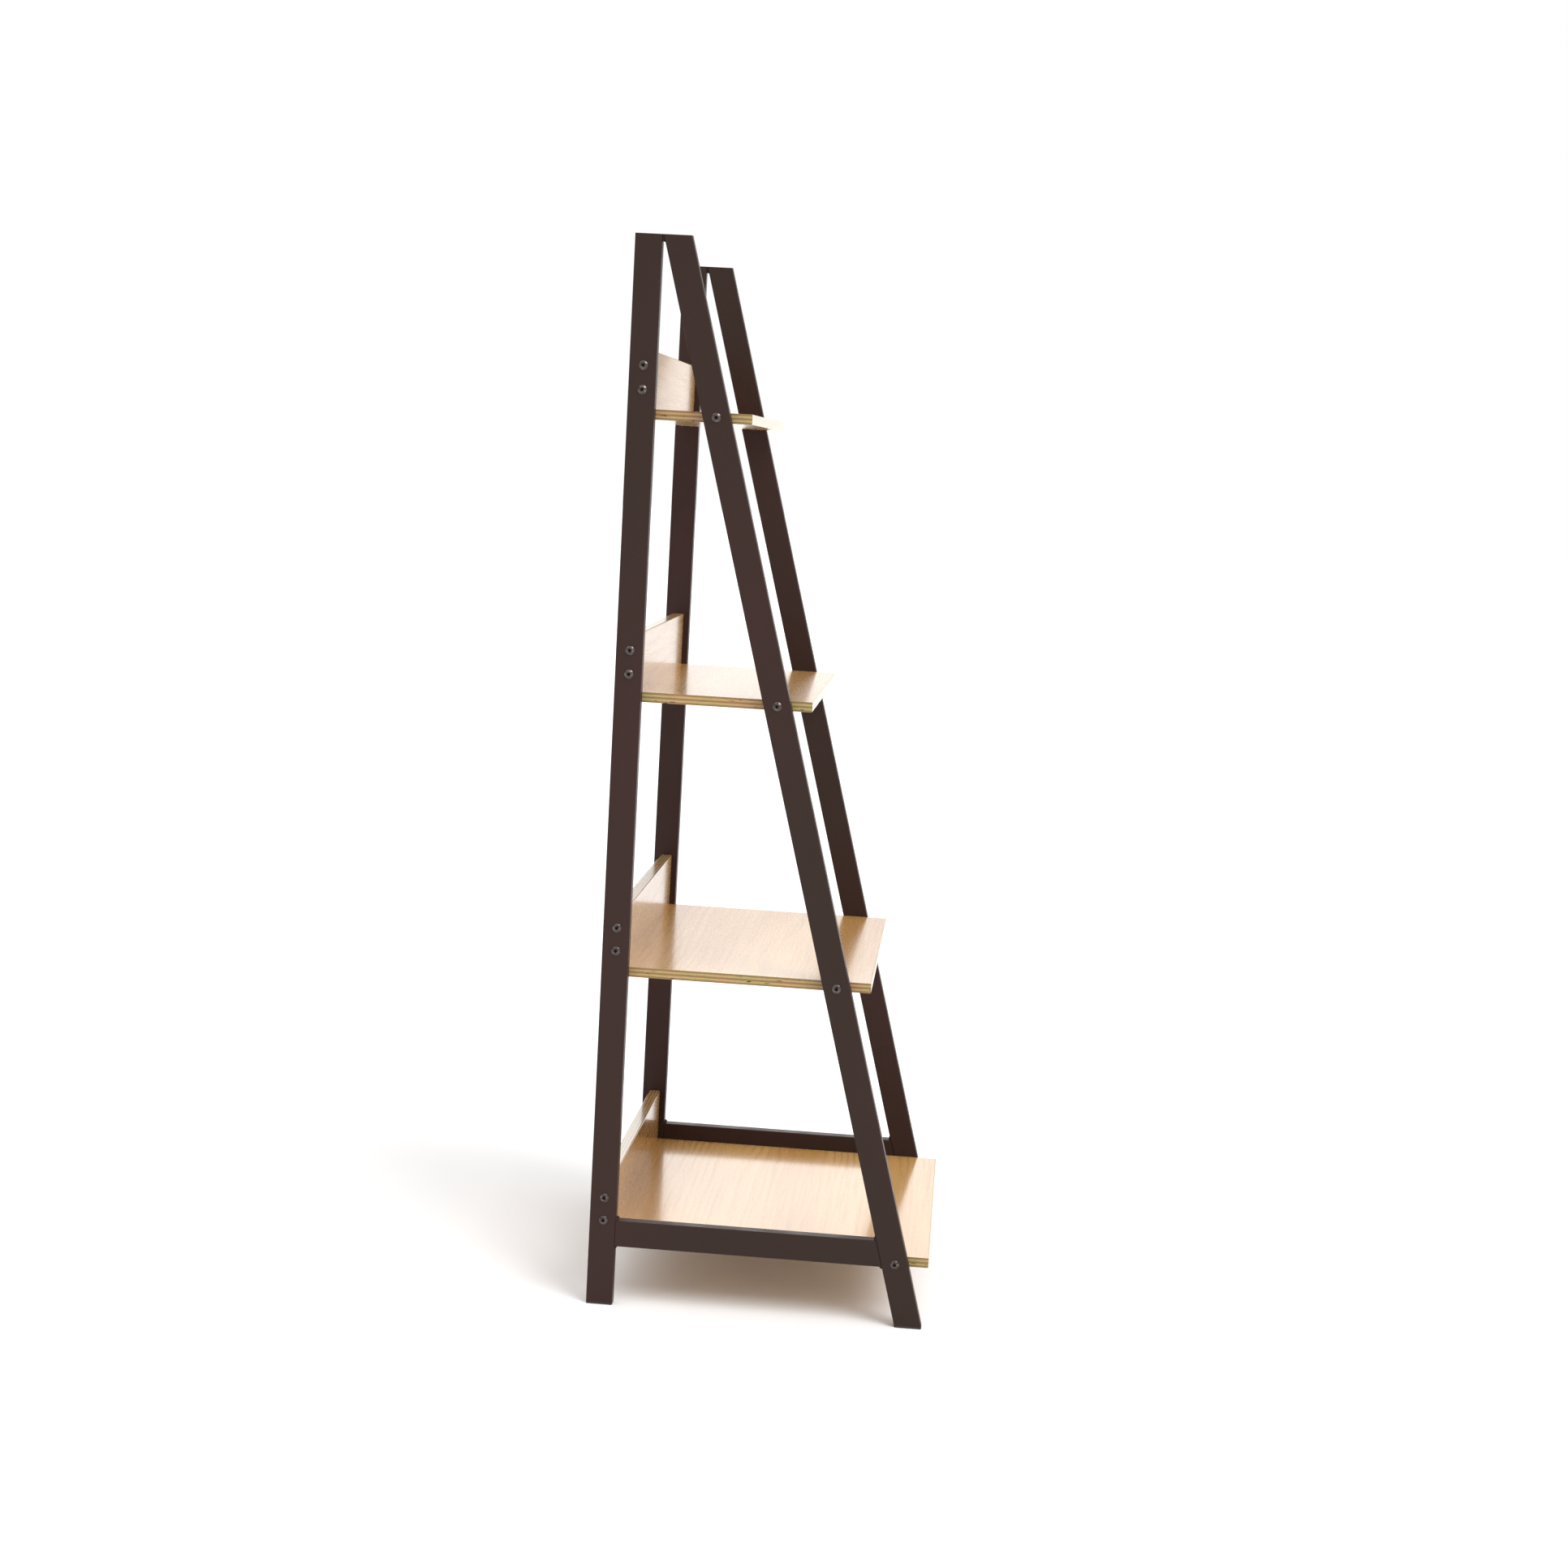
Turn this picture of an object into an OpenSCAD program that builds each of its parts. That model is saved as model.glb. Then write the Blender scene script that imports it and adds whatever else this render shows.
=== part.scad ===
// Four-tier ladder shelf: two welded side frames of rectangular steel tube
// carry four bolted boards, each with a low back board.
// Millimetres, +Z up, front towards -Y, origin on the floor under the middle.

/* [Overall] */
// Height of the side frames, feet and caps included
frame_height = 1600; // [1500:5:1900]
// Width over the outer faces of the two side frames
frame_width = 600; // [500:5:900]

/* [Side frame] */
// Wide side of the rectangular tube, seen from the side
tube_face = 40; // [30:0.5:60]
// Narrow side of the tube, seen from the front
tube_edge = 20; // [12:0.5:25]
// Tube wall thickness
tube_wall = 1.2; // [0.8:0.1:3]
// Outside corner radius of the tube
tube_radius = 2; // [1.6:0.1:5]
// Backward lean of the front uprights, in degrees
lean = 15; // [5:0.5:25]
// Gap between the two uprights at the very top
top_gap = 1.5; // [0.5:0.1:20]
// Height of the underside of the base rail
rail_bottom = 92; // [20:1:300]

/* [Top cap] */
// Thickness of the welded plate that closes the frame top
cap_thickness = 2; // [1:0.5:6]

/* [Feet] */
// Thickness of the plug flange under a tube
foot_flange = 3; // [1:0.5:10]
// Corner radius of the plug flange
foot_radius = 3; // [0.5:0.1:6]
// Length of the plug inside the tube
foot_shank = 20; // [10:1:50]
// Wall thickness of the hollow plug
foot_wall = 2; // [1:0.1:4]
// Clearance between the plug and the tube bore
foot_clearance = 0.6; // [0.2:0.1:2]
// Height of one grip rib on the plug
foot_rib = 2; // [1:0.5:4]

/* [Shelves] */
// Height of the top face of the lowest shelf
lowest_shelf = 105; // [40:1:240]
// Distance between neighbouring shelves
shelf_pitch = 415; // [250:1:450]
// Thickness of a shelf board
shelf_thickness = 15; // [10:0.5:30]
// How far a shelf reaches past the front uprights
shelf_overhang = 32; // [0:0.5:80]
// Edge radius along the front of a shelf
shelf_edge_radius = 1.5; // [0.5:0.1:5]

/* [Back boards] */
// Height of a back board above its shelf
lip_height = 85; // [75:1:200]
// Thickness of a back board
lip_thickness = 18; // [10:0.5:30]
// Distance of a back board from the rear of the frame
lip_inset = 12; // [0:0.5:20]
// Edge radius along the top of a back board
lip_edge_radius = 1.5; // [0.5:0.1:5]

/* [Frame bolts] */
// Shank diameter
bolt_diameter = 6; // [4:0.5:7]
// Shank length under the head
bolt_length = 38; // [30:1:70]
// Head diameter
bolt_head = 13.5; // [9:0.1:20]
// Head height
bolt_head_height = 3.3; // [2.6:0.1:7]
// Height of the head's straight rim
bolt_head_rim = 1; // [0.3:0.1:2.5]
// Hexagon socket size across flats
bolt_socket = 5; // [2:0.5:8]
// Hexagon socket depth
bolt_socket_depth = 2.4; // [1:0.1:3]
// Radial clearance of the bolt holes in the tube
bolt_clearance = 0.25; // [0.1:0.05:0.5]
// Height of the lower rear bolt above its shelf
lower_bolt = 27; // [10:0.5:48]
// Height of the upper rear bolt above its shelf
upper_bolt = 62; // [42:0.5:78]

/* [Threaded inserts] */
// Outside diameter of an insert
insert_diameter = 8; // [7:0.5:12]
// Length of an insert
insert_length = 13; // [8:0.5:20]
// Radial gap between insert and bolt
insert_clearance = 0.05; // [0:0.05:0.5]
// Extra depth of the bolt hole beyond the bolt tip
hole_end_gap = 3; // [1:0.5:10]

/* [Back board screws] */
// Shank diameter
screw_diameter = 4; // [3:0.5:6]
// Overall length
screw_length = 40; // [25:1:60]
// Countersunk head diameter
screw_head = 8; // [6:0.1:12]
// Height of the countersunk head
screw_head_height = 2.4; // [2:0.1:5]
// Distance from the middle screw to an outer one
screw_pitch = 200; // [80:5:250]
// Arm length of the cross recess
screw_recess = 4.4; // [2:0.1:5]
// Arm width of the cross recess
screw_recess_width = 0.9; // [0.5:0.1:2]
// Depth of the cross recess
screw_recess_depth = 1.6; // [0.5:0.1:2]

/* [Hidden] */
$fn = 48;

left = -1;
right = 1;
shelf_count = 4;
steel_brown = [0.07, 0.05, 0.04];
plug_black = [0.03, 0.03, 0.03];
oak = [0.82, 0.68, 0.48];
oak_light = [0.86, 0.74, 0.56];
bolt_bronze = [0.22, 0.18, 0.17];
zinc = [0.62, 0.62, 0.6];

// Horizontal width of the leaning tube, and its run per unit of height.
leaning_face = tube_face / cos(lean);
lean_run = tan(lean);
// Depths are counted forwards from the rear of the frame.
front_edge_top = tube_face + top_gap + leaning_face;
front_edge_floor = front_edge_top + frame_height * lean_run;
tube_top = frame_height - cap_thickness;
tube_length = frame_height / cos(lean);
total_depth = front_edge_floor - lowest_shelf * lean_run + shelf_overhang;
board_length = frame_width - 2 * tube_edge;
inner_face = board_length / 2;
outer_face = frame_width / 2;
lip_centre = lip_inset + lip_thickness / 2;
bore_face = tube_face - 2 * tube_wall;
bore_edge = tube_edge - 2 * tube_wall;
bore_radius = max(tube_radius - tube_wall, 0.3);
bolt_hole_radius = bolt_diameter / 2 + bolt_clearance;
board_hole_depth = bolt_length - tube_edge + hole_end_gap;
// Margin for tools that cut right through a piece.
past = 1;

function y_at(depth) = total_depth / 2 - depth;
function front_edge(z) = front_edge_top + (frame_height - z) * lean_run;
// Shelf 1 is the highest, shelf 4 the lowest.
function shelf_top(n) = lowest_shelf + (shelf_count - n) * shelf_pitch;
function shelf_front(n) = front_edge(shelf_top(n)) + shelf_overhang;
function shelf_middle(n) = shelf_top(n) - shelf_thickness / 2;
// Depth of the middle of the leaning upright at the shelf's mid-thickness.
function front_bolt_depth(n) = front_edge(shelf_middle(n)) - leaning_face / 2;
// Depth and height of the three bolts on one side of one shelf.
function bolt_points(n) = [
    [lip_centre, shelf_top(n) + lower_bolt],
    [lip_centre, shelf_top(n) + upper_bolt],
    [front_bolt_depth(n), shelf_middle(n)]
];

// Rectangle with round corners, standing on the origin's corner.
module rounded_rectangle(width, height, radius) {
    translate([radius, 0]) square([width - 2 * radius, height]);
    translate([0, radius]) square([width, height - 2 * radius]);
    for (u = [radius, width - radius], v = [radius, height - radius])
        translate([u, v]) circle(r = radius);
}

// Tube section: tube_edge wide along the first axis, tube_face along the second.
module tube_section() {
    difference() {
        rounded_rectangle(tube_edge, tube_face, tube_radius);
        translate([tube_wall, tube_wall])
            rounded_rectangle(bore_edge, bore_face, bore_radius);
    }
}

// Moves a piece drawn on the left side frame to the wanted side.
module on_side(side) {
    if (side == left) children();
    else mirror([1, 0, 0]) children();
}

// Places a piece in the leaning tube's own frame: +Z runs up the tube,
// the front face lies on y = 0 and the rear face on y = tube_face.
module leaning() {
    translate([-outer_face, y_at(front_edge_floor), 0])
        rotate([-lean, 0, 0])
            children();
}

// Space a bolt passes through in the left side frame.
module bolt_hole(depth, z) {
    translate([-outer_face - past, y_at(depth), z])
        rotate([0, 90, 0])
            cylinder(r = bolt_hole_radius, h = tube_edge + 2 * past);
}

module rear_upright(side) {
    color(steel_brown)
    on_side(side)
    difference() {
        translate([-outer_face, y_at(tube_face), foot_flange])
            linear_extrude(height = tube_top - foot_flange)
                tube_section();
        for (n = [1 : shelf_count]) {
            bolt_hole(lip_centre, shelf_top(n) + lower_bolt);
            bolt_hole(lip_centre, shelf_top(n) + upper_bolt);
        }
    }
}

module front_upright(side) {
    color(steel_brown)
    on_side(side)
    difference() {
        intersection() {
            leaning()
                translate([0, 0, -tube_face])
                    linear_extrude(height = tube_length + 2 * tube_face)
                        tube_section();
            translate([-frame_width, -total_depth, foot_flange])
                cube([frame_width, 2 * total_depth, tube_top - foot_flange]);
        }
        for (n = [1 : shelf_count])
            bolt_hole(front_bolt_depth(n), shelf_middle(n));
    }
}

// The rail runs from the rear upright to the leaning face of the front one.
module base_rail(side) {
    color(steel_brown)
    on_side(side)
    difference() {
        translate([-outer_face, y_at(tube_face), rail_bottom])
            rotate([90, 0, 0])
                linear_extrude(height = front_edge_floor)
                    tube_section();
        leaning()
            translate([-past, tube_face - 2 * total_depth, -total_depth])
                cube([tube_edge + 2 * past, 2 * total_depth, 2 * total_depth]);
    }
}

module top_cap(side) {
    color(steel_brown)
    on_side(side)
    translate([-outer_face, y_at(front_edge(tube_top)), tube_top])
        linear_extrude(height = cap_thickness)
            rounded_rectangle(tube_edge, front_edge(tube_top), tube_radius);
}

// Hollow plug shank with two grip ribs, drawn upwards in a tube's own frame.
module plug_shank(length) {
    shank_edge = bore_edge - 2 * foot_clearance;
    shank_face = bore_face - 2 * foot_clearance;
    shank_corner = tube_wall + foot_clearance;
    difference() {
        union() {
            translate([shank_corner, shank_corner])
                linear_extrude(height = length)
                    rounded_rectangle(shank_edge, shank_face, bore_radius);
            for (top = [length, length - 3 * foot_rib])
                translate([tube_wall, tube_wall, top - 2 * foot_rib])
                    linear_extrude(height = foot_rib)
                        rounded_rectangle(bore_edge, bore_face, bore_radius);
        }
        translate([shank_corner + foot_wall, shank_corner + foot_wall, -past])
            cube([shank_edge - 2 * foot_wall, shank_face - 2 * foot_wall, length + 2 * past]);
    }
}

module foot_rear(side) {
    color(plug_black)
    on_side(side)
    translate([-outer_face, y_at(tube_face), 0]) {
        linear_extrude(height = foot_flange)
            rounded_rectangle(tube_edge, tube_face, foot_radius);
        translate([0, 0, foot_flange])
            plug_shank(foot_shank);
    }
}

module foot_front(side) {
    color(plug_black)
    on_side(side) {
        translate([-outer_face, y_at(front_edge(foot_flange)), 0])
            linear_extrude(height = foot_flange)
                rounded_rectangle(tube_edge, leaning_face, foot_radius);
        difference() {
            leaning()
                translate([0, 0, -tube_face])
                    plug_shank(tube_face + foot_shank);
            translate([-frame_width, -total_depth, foot_flange - 2 * tube_face])
                cube([frame_width, 2 * total_depth, 2 * tube_face]);
        }
    }
}

// Hole for an insert and the bolt tip in the left end of a board.
module board_end_hole(depth, z) {
    translate([-inner_face - past, y_at(depth), z])
        rotate([0, 90, 0]) {
            cylinder(d = insert_diameter, h = insert_length + past);
            cylinder(r = bolt_hole_radius, h = board_hole_depth + past);
        }
}

module shelf_board(n) {
    depth = shelf_front(n) - lip_inset;
    color(oak_light)
    difference() {
        translate([-inner_face, y_at(shelf_front(n)), shelf_top(n) - shelf_thickness])
            rotate([90, 0, 90])
                linear_extrude(height = board_length) {
                    translate([shelf_edge_radius, 0])
                        square([depth - shelf_edge_radius, shelf_thickness]);
                    translate([0, shelf_edge_radius])
                        square([depth, shelf_thickness - 2 * shelf_edge_radius]);
                    for (v = [shelf_edge_radius, shelf_thickness - shelf_edge_radius])
                        translate([shelf_edge_radius, v])
                            circle(r = shelf_edge_radius);
                }
        for (side = [left, right])
            on_side(side)
                board_end_hole(front_bolt_depth(n), shelf_middle(n));
        screw_places(n)
            screw_body();
    }
}

module back_board(n) {
    color(oak)
    difference() {
        translate([-inner_face, y_at(lip_inset + lip_thickness), shelf_top(n)])
            rotate([90, 0, 90])
                linear_extrude(height = board_length) {
                    square([lip_thickness, lip_height - lip_edge_radius]);
                    translate([lip_edge_radius, 0])
                        square([lip_thickness - 2 * lip_edge_radius, lip_height]);
                    for (u = [lip_edge_radius, lip_thickness - lip_edge_radius])
                        translate([u, lip_height - lip_edge_radius])
                            circle(r = lip_edge_radius);
                }
        for (side = [left, right], z = [lower_bolt, upper_bolt])
            on_side(side)
                board_end_hole(lip_centre, shelf_top(n) + z);
        screw_places(n)
            screw_body();
    }
}

// Button-head bolt with its shank along +Z and the head below z = 0.
module bolt() {
    dome = bolt_head_height - bolt_head_rim;
    half_head = bolt_head / 2;
    dome_radius = (half_head * half_head + dome * dome) / (2 * dome);
    difference() {
        union() {
            cylinder(d = bolt_diameter, h = bolt_length);
            mirror([0, 0, 1])
                rotate_extrude()
                    intersection() {
                        square([half_head, bolt_head_height]);
                        translate([0, bolt_head_height - dome_radius])
                            circle(r = dome_radius);
                    }
        }
        translate([0, 0, -bolt_head_height - past])
            cylinder(d = bolt_socket / cos(30), h = bolt_socket_depth + past, $fn = 6);
    }
}

module bolts(n) {
    color(bolt_bronze)
    for (side = [left, right], point = bolt_points(n))
        on_side(side)
            translate([-outer_face, y_at(point[0]), point[1]])
                rotate([0, 90, 0])
                    bolt();
}

module inserts(n) {
    color(zinc)
    for (side = [left, right], point = bolt_points(n))
        on_side(side)
            translate([-inner_face, y_at(point[0]), point[1]])
                rotate([0, 90, 0])
                    difference() {
                        cylinder(d = insert_diameter, h = insert_length);
                        translate([0, 0, -past])
                            cylinder(
                                r = bolt_diameter / 2 + insert_clearance,
                                h = insert_length + 2 * past
                            );
                    }
}

// The three screws that join a shelf to its back board, from underneath.
module screw_places(n) {
    for (x = [-screw_pitch, 0, screw_pitch])
        translate([x, y_at(lip_centre), shelf_top(n) - shelf_thickness])
            children();
}

module screw_body() {
    cylinder(d = screw_diameter, h = screw_length);
    cylinder(d1 = screw_head, d2 = screw_diameter, h = screw_head_height);
}

module lip_screws(n) {
    color(zinc)
    screw_places(n)
        difference() {
            screw_body();
            for (turn = [0, 90])
                rotate([0, 0, turn])
                    translate([-screw_recess / 2, -screw_recess_width / 2, -past])
                        cube([screw_recess, screw_recess_width, screw_recess_depth + past]);
        }
}

rear_upright(left);  // rear_upright_left
rear_upright(right);  // rear_upright_right
front_upright(left);  // front_upright_left
front_upright(right);  // front_upright_right
base_rail(left);  // base_rail_left
base_rail(right);  // base_rail_right
top_cap(left);  // top_cap_left
top_cap(right);  // top_cap_right
foot_rear(left);  // foot_rear_left
foot_rear(right);  // foot_rear_right
foot_front(left);  // foot_front_left
foot_front(right);  // foot_front_right
shelf_board(1);  // shelf_board_1
shelf_board(2);  // shelf_board_2
shelf_board(3);  // shelf_board_3
shelf_board(4);  // shelf_board_4
back_board(1);  // back_board_1
back_board(2);  // back_board_2
back_board(3);  // back_board_3
back_board(4);  // back_board_4
bolts(1);  // bolts_1
bolts(2);  // bolts_2
bolts(3);  // bolts_3
bolts(4);  // bolts_4
inserts(1);  // inserts_1
inserts(2);  // inserts_2
inserts(3);  // inserts_3
inserts(4);  // inserts_4
lip_screws(1);  // lip_screws_1
lip_screws(2);  // lip_screws_2
lip_screws(3);  // lip_screws_3
lip_screws(4);  // lip_screws_4
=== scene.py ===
"""Ladder shelf: finishes, weld beads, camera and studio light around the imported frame."""

import math

import bmesh
import bpy
from mathutils import Matrix, Vector


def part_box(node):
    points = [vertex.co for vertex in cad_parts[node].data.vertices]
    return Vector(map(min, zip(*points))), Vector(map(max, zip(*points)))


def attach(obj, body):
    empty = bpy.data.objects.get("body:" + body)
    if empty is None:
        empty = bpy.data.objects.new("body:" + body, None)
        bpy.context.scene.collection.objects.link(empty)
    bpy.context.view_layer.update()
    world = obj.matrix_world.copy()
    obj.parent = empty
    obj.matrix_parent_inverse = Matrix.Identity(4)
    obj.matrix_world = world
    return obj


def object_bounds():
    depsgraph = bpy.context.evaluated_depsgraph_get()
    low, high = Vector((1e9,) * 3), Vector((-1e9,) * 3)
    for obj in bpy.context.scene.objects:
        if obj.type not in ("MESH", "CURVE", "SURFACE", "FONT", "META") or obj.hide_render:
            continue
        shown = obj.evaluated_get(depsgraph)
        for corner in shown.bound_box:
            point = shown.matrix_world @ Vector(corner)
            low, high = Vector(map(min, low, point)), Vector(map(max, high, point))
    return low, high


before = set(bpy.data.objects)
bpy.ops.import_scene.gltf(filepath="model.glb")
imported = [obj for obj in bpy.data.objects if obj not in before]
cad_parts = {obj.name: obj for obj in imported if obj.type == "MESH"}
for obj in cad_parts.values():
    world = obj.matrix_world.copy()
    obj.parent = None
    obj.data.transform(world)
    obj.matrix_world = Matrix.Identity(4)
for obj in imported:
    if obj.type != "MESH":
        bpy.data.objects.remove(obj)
cad_low, cad_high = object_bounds()

MM = 0.001
X, Y, Z = 0, 1, 2
SIDES = ("left", "right")
LEVELS = (1, 2, 3, 4)

# ---------------------------------------------------------------- camera

CAMERA_PLACE = Vector((-3.979, -0.268, 1.282))
CAMERA_YAW = math.radians(4.152)     # turned from +X towards +Y
CAMERA_DROP = math.radians(7.231)    # tipped below the horizon
CAMERA_ROLL = math.radians(3.151)    # turned about the line of sight
SENSOR_WIDTH = 36.0
FOCAL_LENGTH = 57.93


def make_camera():
    """A camera that sees the left side of the shelf from just in front of it."""
    forward = Vector((
        math.cos(CAMERA_YAW) * math.cos(CAMERA_DROP),
        math.sin(CAMERA_YAW) * math.cos(CAMERA_DROP),
        -math.sin(CAMERA_DROP),
    ))
    level = forward.cross(Vector((0, 0, 1))).normalized()
    upright = level.cross(forward)
    right = level * math.cos(CAMERA_ROLL) + upright * math.sin(CAMERA_ROLL)
    up = upright * math.cos(CAMERA_ROLL) - level * math.sin(CAMERA_ROLL)
    data = bpy.data.cameras.new("camera")
    data.sensor_width = SENSOR_WIDTH
    data.lens = FOCAL_LENGTH
    data.clip_start = 0.05
    data.clip_end = 200
    camera = bpy.data.objects.new("camera", data)
    camera.matrix_world = Matrix.Translation(CAMERA_PLACE) @ Matrix((
        (right.x, up.x, -forward.x, 0),
        (right.y, up.y, -forward.y, 0),
        (right.z, up.z, -forward.z, 0),
        (0, 0, 0, 1),
    ))
    bpy.context.scene.collection.objects.link(camera)
    bpy.context.scene.camera = camera


# ---------------------------------------------------------------- node helpers

# The Mix node has sockets of one name for each kind of data, so the colour ones go by number.
MIX_COLOUR_INPUTS = (0, 6, 7)
MIX_COLOUR_OUTPUT = 2


class Finish:
    """A material under construction, with short calls for the nodes that it needs."""

    def __init__(self, name):
        self.material = bpy.data.materials.new(name)
        self.material.use_nodes = True
        self.tree = self.material.node_tree
        self.tree.nodes.clear()
        self.shader = self.tree.nodes.new("ShaderNodeBsdfPrincipled")
        output = self.tree.nodes.new("ShaderNodeOutputMaterial")
        self.tree.links.new(self.shader.outputs["BSDF"], output.inputs["Surface"])
        self.place = self.tree.nodes.new("ShaderNodeTexCoord")

    def put(self, value, socket):
        """Sets a socket to a number or colour, or links it to another node's output."""
        if isinstance(value, bpy.types.NodeSocket):
            self.tree.links.new(value, socket)
        else:
            socket.default_value = value

    def scaled(self, scale, shift=(0, 0, 0), vector=None):
        """Object coordinates, in metres, shifted and then scaled. For a noise, the scale is its
        number of cells in a metre along each axis."""
        node = self.tree.nodes.new("ShaderNodeVectorMath")
        node.operation = "ADD"
        self.put(vector or self.place.outputs["Object"], node.inputs[0])
        node.inputs[1].default_value = shift
        grow = self.tree.nodes.new("ShaderNodeVectorMath")
        grow.operation = "MULTIPLY"
        self.put(node.outputs[0], grow.inputs[0])
        grow.inputs[1].default_value = scale
        return grow.outputs[0]

    def noise(self, vector, detail=2.0, rough=0.5):
        """Noise from 0 to 1 over a scaled vector."""
        node = self.tree.nodes.new("ShaderNodeTexNoise")
        node.inputs["Scale"].default_value = 1.0
        node.inputs["Detail"].default_value = detail
        node.inputs["Roughness"].default_value = rough
        self.put(vector, node.inputs["Vector"])
        return node.outputs["Fac"]

    def math(self, operation, *values):
        """One arithmetic step on numbers or other nodes' outputs."""
        node = self.tree.nodes.new("ShaderNodeMath")
        node.operation = operation
        for value, socket in zip(values, node.inputs):
            self.put(value, socket)
        return node.outputs[0]

    def span(self, value, low, high, out_low=0.0, out_high=1.0):
        """Value mapped smoothly from low..high to out_low..out_high, and held past the ends."""
        node = self.tree.nodes.new("ShaderNodeMapRange")
        node.interpolation_type = "SMOOTHSTEP"
        limits = (low, high, out_low, out_high)
        for name, limit in zip(("From Min", "From Max", "To Min", "To Max"), limits):
            node.inputs[name].default_value = limit
        self.put(value, node.inputs["Value"])
        return node.outputs["Result"]

    def mix(self, share, first, second):
        """A colour between first and second."""
        node = self.tree.nodes.new("ShaderNodeMix")
        node.data_type = "RGBA"
        factor, a, b = (node.inputs[i] for i in MIX_COLOUR_INPUTS)
        self.put(share, factor)
        self.put(first, a)
        self.put(second, b)
        return node.outputs[MIX_COLOUR_OUTPUT]

    def bump(self, height, strength, distance):
        """A normal for a surface whose relief is distance deep, in metres, where height is 1."""
        node = self.tree.nodes.new("ShaderNodeBump")
        node.inputs["Strength"].default_value = strength
        node.inputs["Distance"].default_value = distance
        self.put(height, node.inputs["Height"])
        return node.outputs["Normal"]

    def parts(self, vector):
        """The X, Y and Z outputs of a vector."""
        node = self.tree.nodes.new("ShaderNodeSeparateXYZ")
        self.put(vector, node.inputs[0])
        return node.outputs

    def joined(self, x, y, z):
        """A vector from its three parts."""
        node = self.tree.nodes.new("ShaderNodeCombineXYZ")
        for value, socket in zip((x, y, z), node.inputs):
            self.put(value, socket)
        return node.outputs[0]

    def facing(self, axis):
        """How squarely the surface faces along an axis, 0 to 1."""
        return self.math("ABSOLUTE", self.parts(self.place.outputs["Normal"])[axis])

    def surface(self, **sockets):
        """Sets the shader's sockets, with _ for the spaces in their names."""
        for name, value in sockets.items():
            self.put(value, self.shader.inputs[name.replace("_", " ")])
        return self.material


def rgb(red, green, blue):
    """An opaque colour."""
    return (red, green, blue, 1.0)


def give(piece, material):
    """Makes this the piece's only material."""
    piece.data.materials.clear()
    piece.data.materials.append(material)


def make_piece(name, mesh, material):
    """Turns a bmesh into a new object of the scene."""
    data = bpy.data.meshes.new(name)
    mesh.to_mesh(data)
    mesh.free()
    piece = bpy.data.objects.new(name, data)
    bpy.context.scene.collection.objects.link(piece)
    give(piece, material)
    return piece


# ---------------------------------------------------------------- finishes


def powder_coat():
    """Satin brown powder coat: a fine orange peel, and a hue that drifts along the tube."""
    f = Finish("powder_coat_brown")
    grey_brown, red_brown = rgb(0.0240, 0.0120, 0.0084), rgb(0.032, 0.0115, 0.0096)
    drift = f.noise(f.scaled((2.1, 2.1, 1.3), (3.1, 0.4, 0.9)), detail=1.0)
    speck = f.noise(f.scaled((1400, 1400, 1400)), detail=1.0)
    rubbed = f.noise(f.scaled((24, 24, 9), (7, 2, 5)), detail=3.0)
    peel = f.noise(f.scaled((620, 620, 620)), detail=1.5)
    hue = f.mix(f.span(drift, 0.35, 0.65), grey_brown, red_brown)
    return f.surface(
        Base_Color=f.mix(f.span(speck, 0.3, 0.7, 0.0, 0.35), hue, rgb(0.037, 0.021, 0.016)),
        Roughness=f.span(rubbed, 0.25, 0.75, 0.34, 0.46),
        Specular_IOR_Level=0.18,
        Normal=f.bump(peel, 0.2, 0.15 * MM),
    )


def foot_plastic():
    """Moulded dark plastic with a spark-eroded grain."""
    f = Finish("foot_plastic_dark")
    black, worn = rgb(0.022, 0.018, 0.017), rgb(0.055, 0.047, 0.043)
    grain = f.noise(f.scaled((1900, 1900, 1900)), detail=2.0)
    scuff = f.noise(f.scaled((90, 90, 260), (1, 4, 2)), detail=4.0)
    return f.surface(
        Base_Color=f.mix(f.span(scuff, 0.45, 0.8), black, worn),
        Roughness=f.span(scuff, 0.3, 0.8, 0.5, 0.68),
        Specular_IOR_Level=0.4,
        Normal=f.bump(grain, 0.35, 0.08 * MM),
    )


# The floor of a bolt's socket lies nearer to the tube than this, with a soft change between.
SOCKET_FLOOR = (0.95 * MM, 1.05 * MM)


def bolt_steel():
    """Bronzed steel, rubbed a little brighter in places, with painted shade, near black, on the
    floor and walls of each socket.
    """
    f = Finish("bolt_steel_bronzed")
    bronze, bright = rgb(0.070, 0.056, 0.051), rgb(0.16, 0.127, 0.118)
    black = rgb(0.006, 0.005, 0.005)
    rub = f.noise(f.scaled((260, 260, 260), (2, 2, 2)), detail=3.0)
    grain = f.noise(f.scaled((2600, 2600, 2600)), detail=1.0)
    metal = f.mix(f.span(rub, 0.4, 0.75), bronze, bright)
    tube_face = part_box("rear_upright_right")[1].x
    proud = f.math("SUBTRACT", f.math("ABSOLUTE", f.parts(f.place.outputs["Object"])[X]), tube_face)
    outward = f.facing(X)
    # Painted shade: the floor and walls of each hex socket are coloured near black, standing in for
    # the shade inside the hollow.
    low_down = f.span(proud, *SOCKET_FLOOR, 1.0, 0.0)
    floor = f.math("MULTIPLY", low_down, f.span(outward, 0.90, 0.97))
    socket_wall_shade = f.math("MULTIPLY", f.span(proud, *SOCKET_FLOOR), f.span(outward, 0.2, 0.5, 1.0, 0.0))
    return f.surface(
        Base_Color=f.mix(f.math("MAXIMUM", floor, socket_wall_shade), metal, black),
        Metallic=0.9,
        Roughness=f.span(rub, 0.3, 0.8, 0.20, 0.31),
        Normal=f.bump(grain, 0.2, 0.03 * MM),
    )


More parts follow.
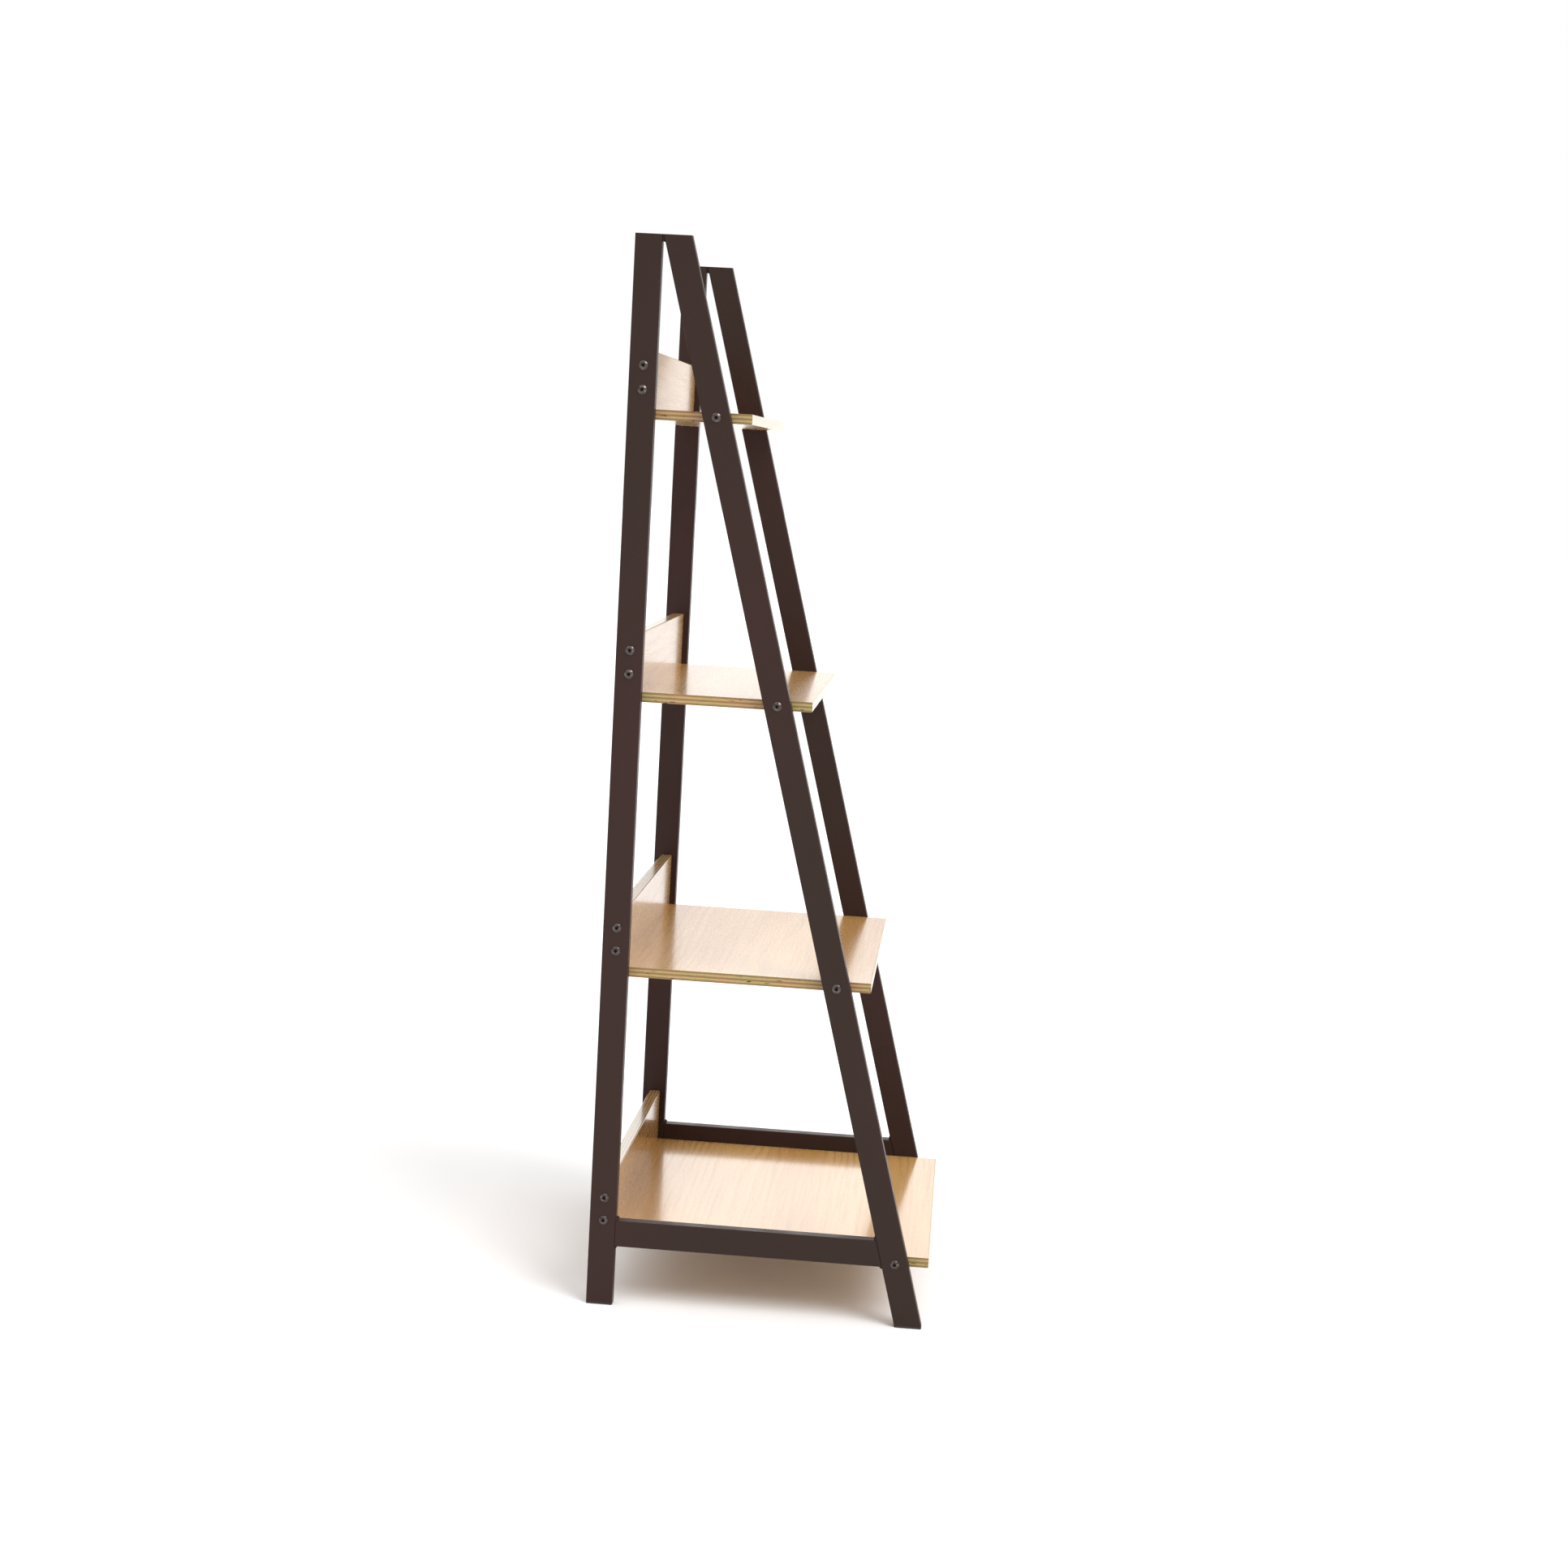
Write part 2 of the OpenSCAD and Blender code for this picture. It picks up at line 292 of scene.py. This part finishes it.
def zinc_steel():
    """Bright zinc plate with a faint turned grain round each screw and insert."""
    f = Finish("zinc_plate")
    cool, warm = rgb(0.50, 0.51, 0.54), rgb(0.68, 0.67, 0.62)
    turned = f.noise(f.scaled((3200, 900, 900)), detail=2.0)
    cloud = f.noise(f.scaled((120, 120, 120), (5, 1, 3)), detail=3.0)
    return f.surface(
        Base_Color=f.mix(f.span(cloud, 0.3, 0.75), cool, warm),
        Metallic=1.0,
        Roughness=f.span(turned, 0.2, 0.8, 0.24, 0.42),
        Normal=f.bump(turned, 0.15, 0.03 * MM),
    )


PLIES_SHELF = 5
PLIES_BACK = 7
PLY_WAVER = 0.07          # as a share of the board's thickness
RING_PITCH = 11 * MM      # from one growth ring to the next
RING_SWAY = 75 * MM

# Where in the log a board is cut: how far along it, across it and from its pith, in metres,
# and how much further on each level's board is than the last one's.
SHELF_CUT = (0.0, -0.020, 0.055)
SHELF_STEP = (0.9, 0.012, 0.012)
BACK_CUT = (4.3, 0.018, 0.040)
BACK_STEP = (0.9, -0.009, 0.010)


def oak_board(name, node, through, plies, cut):
    """Plywood with oak faces for one board. Its grain runs along X. through is the axis of its
    thickness, and cut is where in the log the board was sawn, so that no two look alike."""
    f = Finish(name)
    low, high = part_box(node)
    centre = (low + high) / 2
    across = Z if through == Y else Y
    axes = f.parts(f.scaled((1, 1, 1), -centre))
    along_log, across_log, pith = cut
    long, wide, deep = axes[X], axes[across], axes[through]
    sawn = f.joined(f.math("ADD", long, along_log), f.math("ADD", wide, across_log), deep)

    streak = f.noise(f.scaled((4.2, 150, 150), (0.9, 0.2, 0), sawn), detail=4.0, rough=0.6)
    pores = f.span(f.noise(f.scaled((34, 1250, 1250), vector=sawn), detail=2.0), 0.56, 0.70)
    face = oak_face(f, sawn, pith, streak, pores)
    thickness = high[through] - low[through]
    edge = ply_edge(f, f.math("DIVIDE", deep, thickness), through, plies, along_log)

    # The front edge of a shelf is lipped with oak. Its ends, and all of a back board's edges,
    # are bare. The lacquer covers all but the ends.
    bare = f.facing(X)
    if through == Y:
        bare = f.math("MAXIMUM", bare, f.facing(across))
    end = f.span(f.facing(X), 0.62, 0.80)
    dull = f.span(end, 0.0, 1.0, 0.25, 0.58)
    return f.surface(
        Base_Color=f.mix(f.span(bare, 0.62, 0.80), face, edge),
        Roughness=f.math("ADD", dull, f.span(streak, 0.3, 0.8, 0.0, 0.05)),
        Specular_IOR_Level=0.5,
        Coat_Weight=f.span(end, 0.0, 1.0, 0.62, 0.0),
        Coat_Roughness=0.13,
        Normal=f.bump(f.math("SUBTRACT", 1.0, pores), 0.05, 0.02 * MM),
    )


def oak_face(f, sawn, pith, streak, pores):
    """The colour of an oak face: growth rings at a distance pith from the log's middle, then
    streaks, then pores."""
    pale, honey, tan = rgb(0.53, 0.315, 0.115), rgb(0.45, 0.24, 0.075), rgb(0.31, 0.145, 0.042)
    wide = f.parts(sawn)[Y]
    wander = f.noise(f.scaled((1.6, 7.0, 7.0), vector=sawn), detail=2.0)
    sway = f.math("MULTIPLY", f.math("SUBTRACT", wander, 0.5), RING_SWAY)
    from_pith = f.math("ADD", f.math("MULTIPLY", wide, wide), pith ** 2)
    radius = f.math("ADD", f.math("SQRT", from_pith), sway)
    ring = f.math("SINE", f.math("MULTIPLY", radius, 2 * math.pi / RING_PITCH))
    late_wood = f.span(ring, -0.2, 1.0)
    figure = f.noise(f.scaled((1.9, 11, 11), (0.5, 0.1, 0), sawn), detail=1.0)
    ringed = f.span(figure, 0.42, 0.66, 0.04, 0.36)
    patch = f.noise(f.scaled((1.1, 8.0, 8.0), (0.3, 0.7, 0), sawn), detail=2.0)
    face = f.mix(f.span(patch, 0.35, 0.7), pale, honey)
    face = f.mix(f.math("MULTIPLY", late_wood, ringed), face, tan)
    face = f.mix(f.span(streak, 0.46, 0.74, 0.0, 0.32), face, tan)
    return f.mix(f.math("MULTIPLY", pores, 0.26), face, rgb(0.20, 0.085, 0.03))


def ply_edge(f, depth, through, plies, seed):
    """The colour of a sawn plywood edge, with painted shade in the voids of its core. depth runs
    from -0.5 to 0.5 through the board.
    """
    waver = f.noise(f.scaled((60, 60, 240)), detail=3.0)
    waver = f.math("MULTIPLY", f.math("SUBTRACT", waver, 0.5), PLY_WAVER)
    level = f.math("ADD", f.math("ADD", depth, 0.5), waver)
    layer = f.span(f.math("SINE", f.math("MULTIPLY", level, math.pi * plies)), -0.35, 0.35)
    fibre = f.noise(f.scaled((420, 420, 900), (1, 1, 0)), detail=3.0)
    tint = f.span(f.noise(f.scaled((14, 14, 14), (0, 0, seed)), detail=2.0), 0.35, 0.65)
    stretch = (70, 380, 70) if through == Y else (70, 70, 380)
    # Painted shade: near-black specks stand for the shade inside voids in the plywood core.
    void_shade = f.span(f.noise(f.scaled(stretch, (0, 0, seed)), detail=1.0), 0.70, 0.76)
    light_ply = f.mix(tint, rgb(0.38, 0.285, 0.105), rgb(0.44, 0.27, 0.12))
    dark_ply = f.mix(tint, rgb(0.20, 0.145, 0.042), rgb(0.27, 0.13, 0.05))
    edge = f.mix(layer, light_ply, dark_ply)
    edge = f.mix(f.span(fibre, 0.45, 0.8, 0.0, 0.5), edge, rgb(0.17, 0.11, 0.04))
    return f.mix(void_shade, edge, rgb(0.03, 0.02, 0.012))


def cut_at(level, start, step, rounds):
    """The cut of one level's board. Its distance from the pith comes round again after a number
    of levels, so that the rings stay of a size."""
    along = start[0] + step[0] * level
    across = start[1] + step[1] * level
    from_pith = start[2] + step[2] * (level % rounds)
    return along, across, from_pith


def finish_boards():
    """Each board gets a cut of its own, and with it its own figure."""
    for level in LEVELS:
        shelf, back = f"shelf_board_{level}", f"back_board_{level}"
        shelf_cut = cut_at(level, SHELF_CUT, SHELF_STEP, 3)
        back_cut = cut_at(level, BACK_CUT, BACK_STEP, 2)
        give(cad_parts[shelf], oak_board(f"oak_{shelf}", shelf, Z, PLIES_SHELF, shelf_cut))
        give(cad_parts[back], oak_board(f"oak_{back}", back, Y, PLIES_BACK, back_cut))


def finish_frame():
    """The carried-over metal and plastic nodes take the finish of their own kind."""
    coat, foot, bolt, zinc = powder_coat(), foot_plastic(), bolt_steel(), zinc_steel()
    finishes = {
        "rear_upright": coat, "front_upright": coat, "base_rail": coat, "top_cap": coat,
        "foot": foot, "bolts": bolt, "inserts": zinc, "lip_screws": zinc,
    }
    for name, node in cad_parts.items():
        for kind, material in finishes.items():
            if name.startswith(kind):
                give(node, material)
    return coat


# ---------------------------------------------------------------- weld beads

LEAN = math.radians(15)
UP = Vector((0, 0, 1))
BACK = Vector((0, 1, 0))
LEANING = BACK * math.sin(LEAN) + UP * math.cos(LEAN)

BEAD_LEG = 3.0 * MM          # along each side of the corner
APEX_LEG = 6.2 * MM          # below the cap, where the uprights meet
BEAD_RIPPLE = 0.35 * MM
BEAD_PITCH = 1.6 * MM        # from one ripple to the next
BEAD_CROWN = 0.12            # how far the middle stands out, as a share of the size
BEAD_INSET = 2.0 * MM        # from the tube's outer faces
BEAD_END = 1.5 * MM          # where it tapers off
BEAD_TIP = 0.02              # the square of the size left at its very end
BEAD_RINGS = 48
BEAD_ARC = 7


def bead_rows(mesh, corner, across, up, size, length, hidden):
    """A bead's sections from end to end, with a ripple for each pool of weld metal."""
    roots = [up * hidden, across * hidden] if hidden else [Vector()]
    rows = []
    for i in range(BEAD_RINGS + 1):
        x = length * i / BEAD_RINGS
        end = min(1.0, min(x, length - x) / BEAD_END)
        leg = size * math.sqrt(max(BEAD_TIP, 1 - (1 - end) ** 2))
        leg += BEAD_RIPPLE * end * math.cos(2 * math.pi * x / BEAD_PITCH)
        here = corner + Vector((x, 0, 0))
        row = [mesh.verts.new(here + root) for root in roots]
        for k in range(BEAD_ARC):
            turn = math.pi / 2 * k / (BEAD_ARC - 1)
            bulge = 1 + BEAD_CROWN * math.sin(2 * turn)
            towards = (across * math.cos(turn) + up * math.sin(turn)).normalized()
            row.append(mesh.verts.new(here + towards * (hidden + leg) * bulge))
        rows.append(row)
    return rows


def weld_bead(name, corner, across, up, size, length, coat, hidden=0.0):
    """A bead along X in an inside corner. corner is its start, and across and up point along
    the corner's two sides. hidden is how far down them it starts, where the corner's own tip
    lies past the pieces."""
    mesh = bmesh.new()
    rows = bead_rows(mesh, corner, across, up, size, length, hidden)
    for a, b in zip(rows, rows[1:]):
        for k in range(len(a)):
            n = (k + 1) % len(a)
            mesh.faces.new((a[k], a[n], b[n], b[k]))
    mesh.faces.new(rows[0])
    mesh.faces.new(rows[-1])
    bmesh.ops.recalc_face_normals(mesh, faces=mesh.faces)
    bead = make_piece(name, mesh, coat)
    for face in bead.data.polygons:
        face.use_smooth = True
    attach(bead, "root")


def weld_frames(coat):
    """Beads above and below each end of each base rail, and one where the uprights meet."""
    for side in SIDES:
        low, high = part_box(f"base_rail_{side}")
        start = low.x + BEAD_INSET
        length = high.x - low.x - 2 * BEAD_INSET
        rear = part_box(f"rear_upright_{side}")[0].y
        for place, z, away in (("top", high.z, 1), ("bottom", low.z, -1)):
            name = f"{place}_{side}"
            corner = Vector((start, rear, z))
            weld_bead(f"weld_rear_{name}", corner, -BACK, UP * away, BEAD_LEG, length, coat)
            corner = Vector((start, low.y + (z - low.z) * math.tan(LEAN), z))
            weld_bead(f"weld_front_{name}", corner, BACK, LEANING * away, BEAD_LEG, length, coat)
        apex = low.z + (rear - low.y) / math.tan(LEAN)
        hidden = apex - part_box(f"rear_upright_{side}")[1].z
        corner = Vector((start, rear, apex))
        weld_bead(f"weld_top_{side}", corner, -UP, -LEANING, APEX_LEG, length, coat, hidden)


# ---------------------------------------------------------------- studio

FLOOR_HALF = 60.0
SURROUND_STRENGTH = 1.36
# The sine of the height above the horizon, and the brightness there.
SURROUND_BANDS = ((0.10, 0.95), (0.16, 0.48), (0.42, 0.48), (0.62, 1.0))

# Both lights shine at the middle of the shelf, from the direction given.
KEY_TOWARDS = Vector((-0.60, -0.78, 1.05))
KEY_STRENGTH = 2.0
KEY_ANGLE = math.radians(34)
SHEEN_TOWARDS = Vector((0.905, 0.215, 0.36))
SHEEN_DISTANCE = 25.0
SHEEN_WIDTH = 12.5
SHEEN_HEIGHT = 8.5
SHEEN_RADIANCE = 1.7


def make_floor():
    """A pale floor that runs past the horizon."""
    f = Finish("studio_floor")
    cloud = f.noise(f.scaled((0.7, 0.7, 0.7)), detail=2.0)
    matt_white = f.surface(
        Base_Color=f.mix(cloud, rgb(0.84, 0.84, 0.845), rgb(0.86, 0.86, 0.86)),
        Roughness=f.span(cloud, 0.2, 0.8, 0.85, 0.95),
        Specular_IOR_Level=0.2,
    )
    mesh = bmesh.new()
    bmesh.ops.create_grid(mesh, x_segments=8, y_segments=8, size=FLOOR_HALF)
    floor = make_piece("studio_floor", mesh, matt_white)


def add_light(name, kind, place, towards):
    """A light at a place, shining along towards. No light of the studio shows by itself."""
    data = bpy.data.lights.new(name, kind)
    light = bpy.data.objects.new(name, data)
    light.location = place
    light.rotation_euler = towards.to_track_quat("-Z", "Y").to_euler()
    light.visible_camera = False
    bpy.context.scene.collection.objects.link(light)
    return light


def make_studio():
    """A white surround, lit from above and along the horizon, and a soft key from the front,
    above the left side. A softbox past the right side lays the sheen on the boards."""
    middle = (cad_low + cad_high) / 2
    key = add_light("key", "SUN", middle + KEY_TOWARDS, -KEY_TOWARDS)
    key.data.energy = KEY_STRENGTH
    key.data.angle = KEY_ANGLE
    sheen = add_light("sheen", "AREA", middle + SHEEN_TOWARDS * SHEEN_DISTANCE, -SHEEN_TOWARDS)
    sheen.data.shape = "RECTANGLE"
    sheen.data.size = SHEEN_WIDTH
    sheen.data.size_y = SHEEN_HEIGHT
    sheen.data.energy = SHEEN_RADIANCE * math.pi * SHEEN_WIDTH * SHEEN_HEIGHT
    sheen.visible_diffuse = False
    make_surround()
    bpy.context.scene.view_settings.view_transform = "Standard"


def make_surround():
    """White to the camera. As a light it is bright overhead and near the horizon, dim between."""
    world = bpy.data.worlds.new("studio")
    world.use_nodes = True
    nodes, links = world.node_tree.nodes, world.node_tree.links
    place = nodes.new("ShaderNodeTexCoord")
    parts = nodes.new("ShaderNodeSeparateXYZ")
    links.new(place.outputs["Generated"], parts.inputs[0])
    bands = nodes.new("ShaderNodeValToRGB")
    links.new(parts.outputs["Z"], bands.inputs[0])
    # A new ramp has two elements already, which take the first band and the last.
    ramp = bands.color_ramp.elements
    for band, (sine, level) in zip((ramp[0], ramp[1]), (SURROUND_BANDS[0], SURROUND_BANDS[-1])):
        band.position, band.color = sine, rgb(level, level, level)
    for sine, level in SURROUND_BANDS[1:-1]:
        ramp.new(sine).color = rgb(level, level, level)
    strength = nodes.new("ShaderNodeMath")
    strength.operation = "MULTIPLY"
    links.new(bands.outputs[0], strength.inputs[0])
    strength.inputs[1].default_value = SURROUND_STRENGTH
    path = nodes.new("ShaderNodeLightPath")
    shown = nodes.new("ShaderNodeMix")
    links.new(path.outputs["Is Camera Ray"], shown.inputs["Factor"])
    links.new(strength.outputs[0], shown.inputs["A"])
    shown.inputs["B"].default_value = 1.0
    links.new(shown.outputs["Result"], nodes["Background"].inputs["Strength"])
    nodes["Background"].inputs["Color"].default_value = rgb(1, 1, 1)
    bpy.context.scene.world = world


# ---------------------------------------------------------------- build

make_camera()
finish_boards()
weld_frames(finish_frame())
make_floor()
make_studio()
